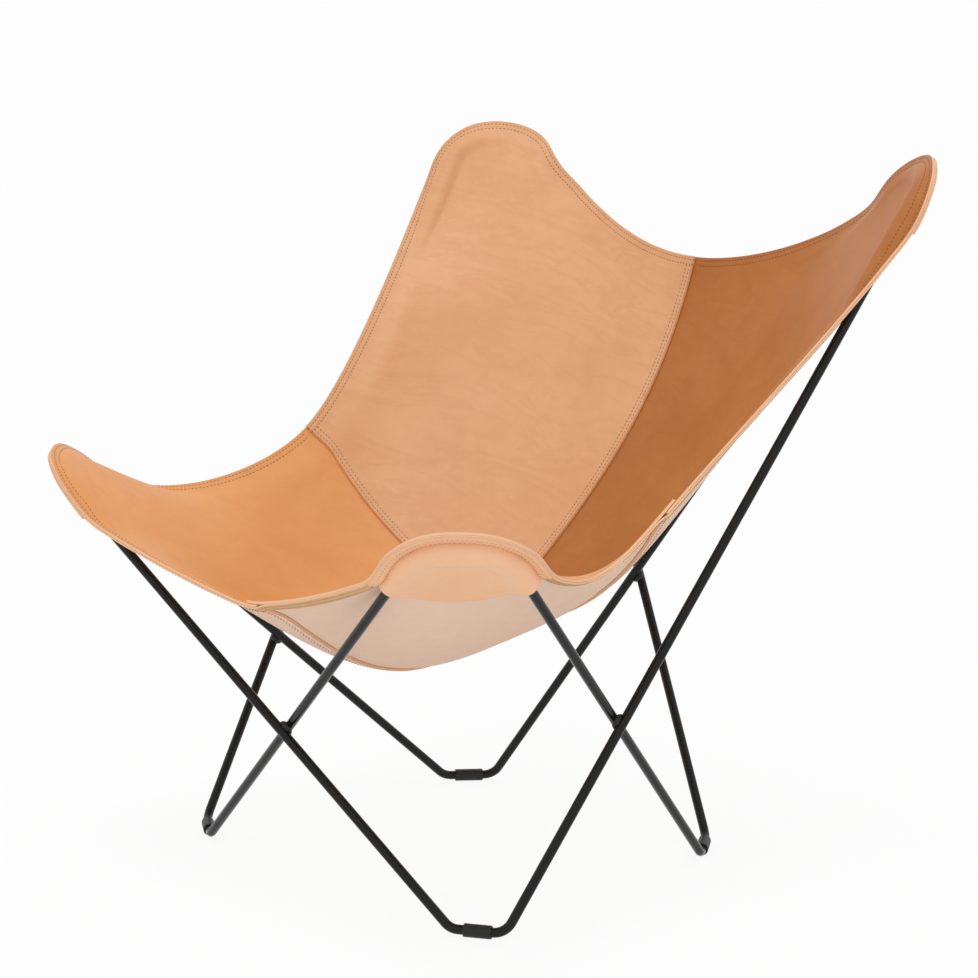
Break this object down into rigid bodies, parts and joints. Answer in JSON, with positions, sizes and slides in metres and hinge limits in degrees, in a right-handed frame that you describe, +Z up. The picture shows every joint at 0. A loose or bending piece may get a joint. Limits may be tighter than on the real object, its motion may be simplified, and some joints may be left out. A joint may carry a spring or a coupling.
{
  "type": "butterfly sling chair",
  "caption": "Low lounge chair: a slack sling of sewn natural leather panels hangs by corner pockets from crossed loops of bent black steel rod.",
  "frame": {"origin": "on the floor, under the middle of the chair's bounding box", "axes": "+Z up, the sitter faces -Y, +X to the right as seen by someone facing the chair's front edge with +Y at the back"},
  "size_m": [0.9156, 0.877, 0.9158],
  "materials": {
    "frame_coat": "satin black powder coat",
    "weld_coat": "satin black powder coat over the weld bead",
    "foot_sleeve": "satin black",
    "panel_light": "smooth vegetable-tanned grain, pale tan, faint wrinkles",
    "panel_orange": "smooth vegetable-tanned grain, orange tan",
    "panel_brown": "smooth vegetable-tanned grain, deeper tan",
    "pocket_leather": "smooth vegetable-tanned grain, pale tan, soft sheen",
    "strip_leather": "flesh side out, pale raw edges"
  },
  "bodies": {
    "root": {"frame_rod_back_left": "frame_coat", "frame_rod_front_left": "frame_coat", "frame_rod_front_right": "frame_coat", "frame_rod_back_right": "frame_coat", "weld_front": "weld_coat", "weld_back": "weld_coat", "weld_left": "weld_coat", "weld_right": "weld_coat", "foot_sleeve_back_left": "foot_sleeve", "foot_sleeve_front_left": "foot_sleeve", "foot_sleeve_front_right": "foot_sleeve", "foot_sleeve_back_right": "foot_sleeve", "panel_back_left": "panel_light", "panel_front_left": "panel_orange", "panel_front_right": "panel_light", "panel_back_right": "panel_brown", "edge_strip_left": "strip_leather", "edge_strip_front": "strip_leather", "edge_strip_right": "strip_leather", "edge_strip_back": "strip_leather", "pocket_back_left": "pocket_leather", "pocket_front_left": "pocket_leather", "pocket_front_right": "pocket_leather", "pocket_back_right": "pocket_leather"}
  },
  "joints": []
}
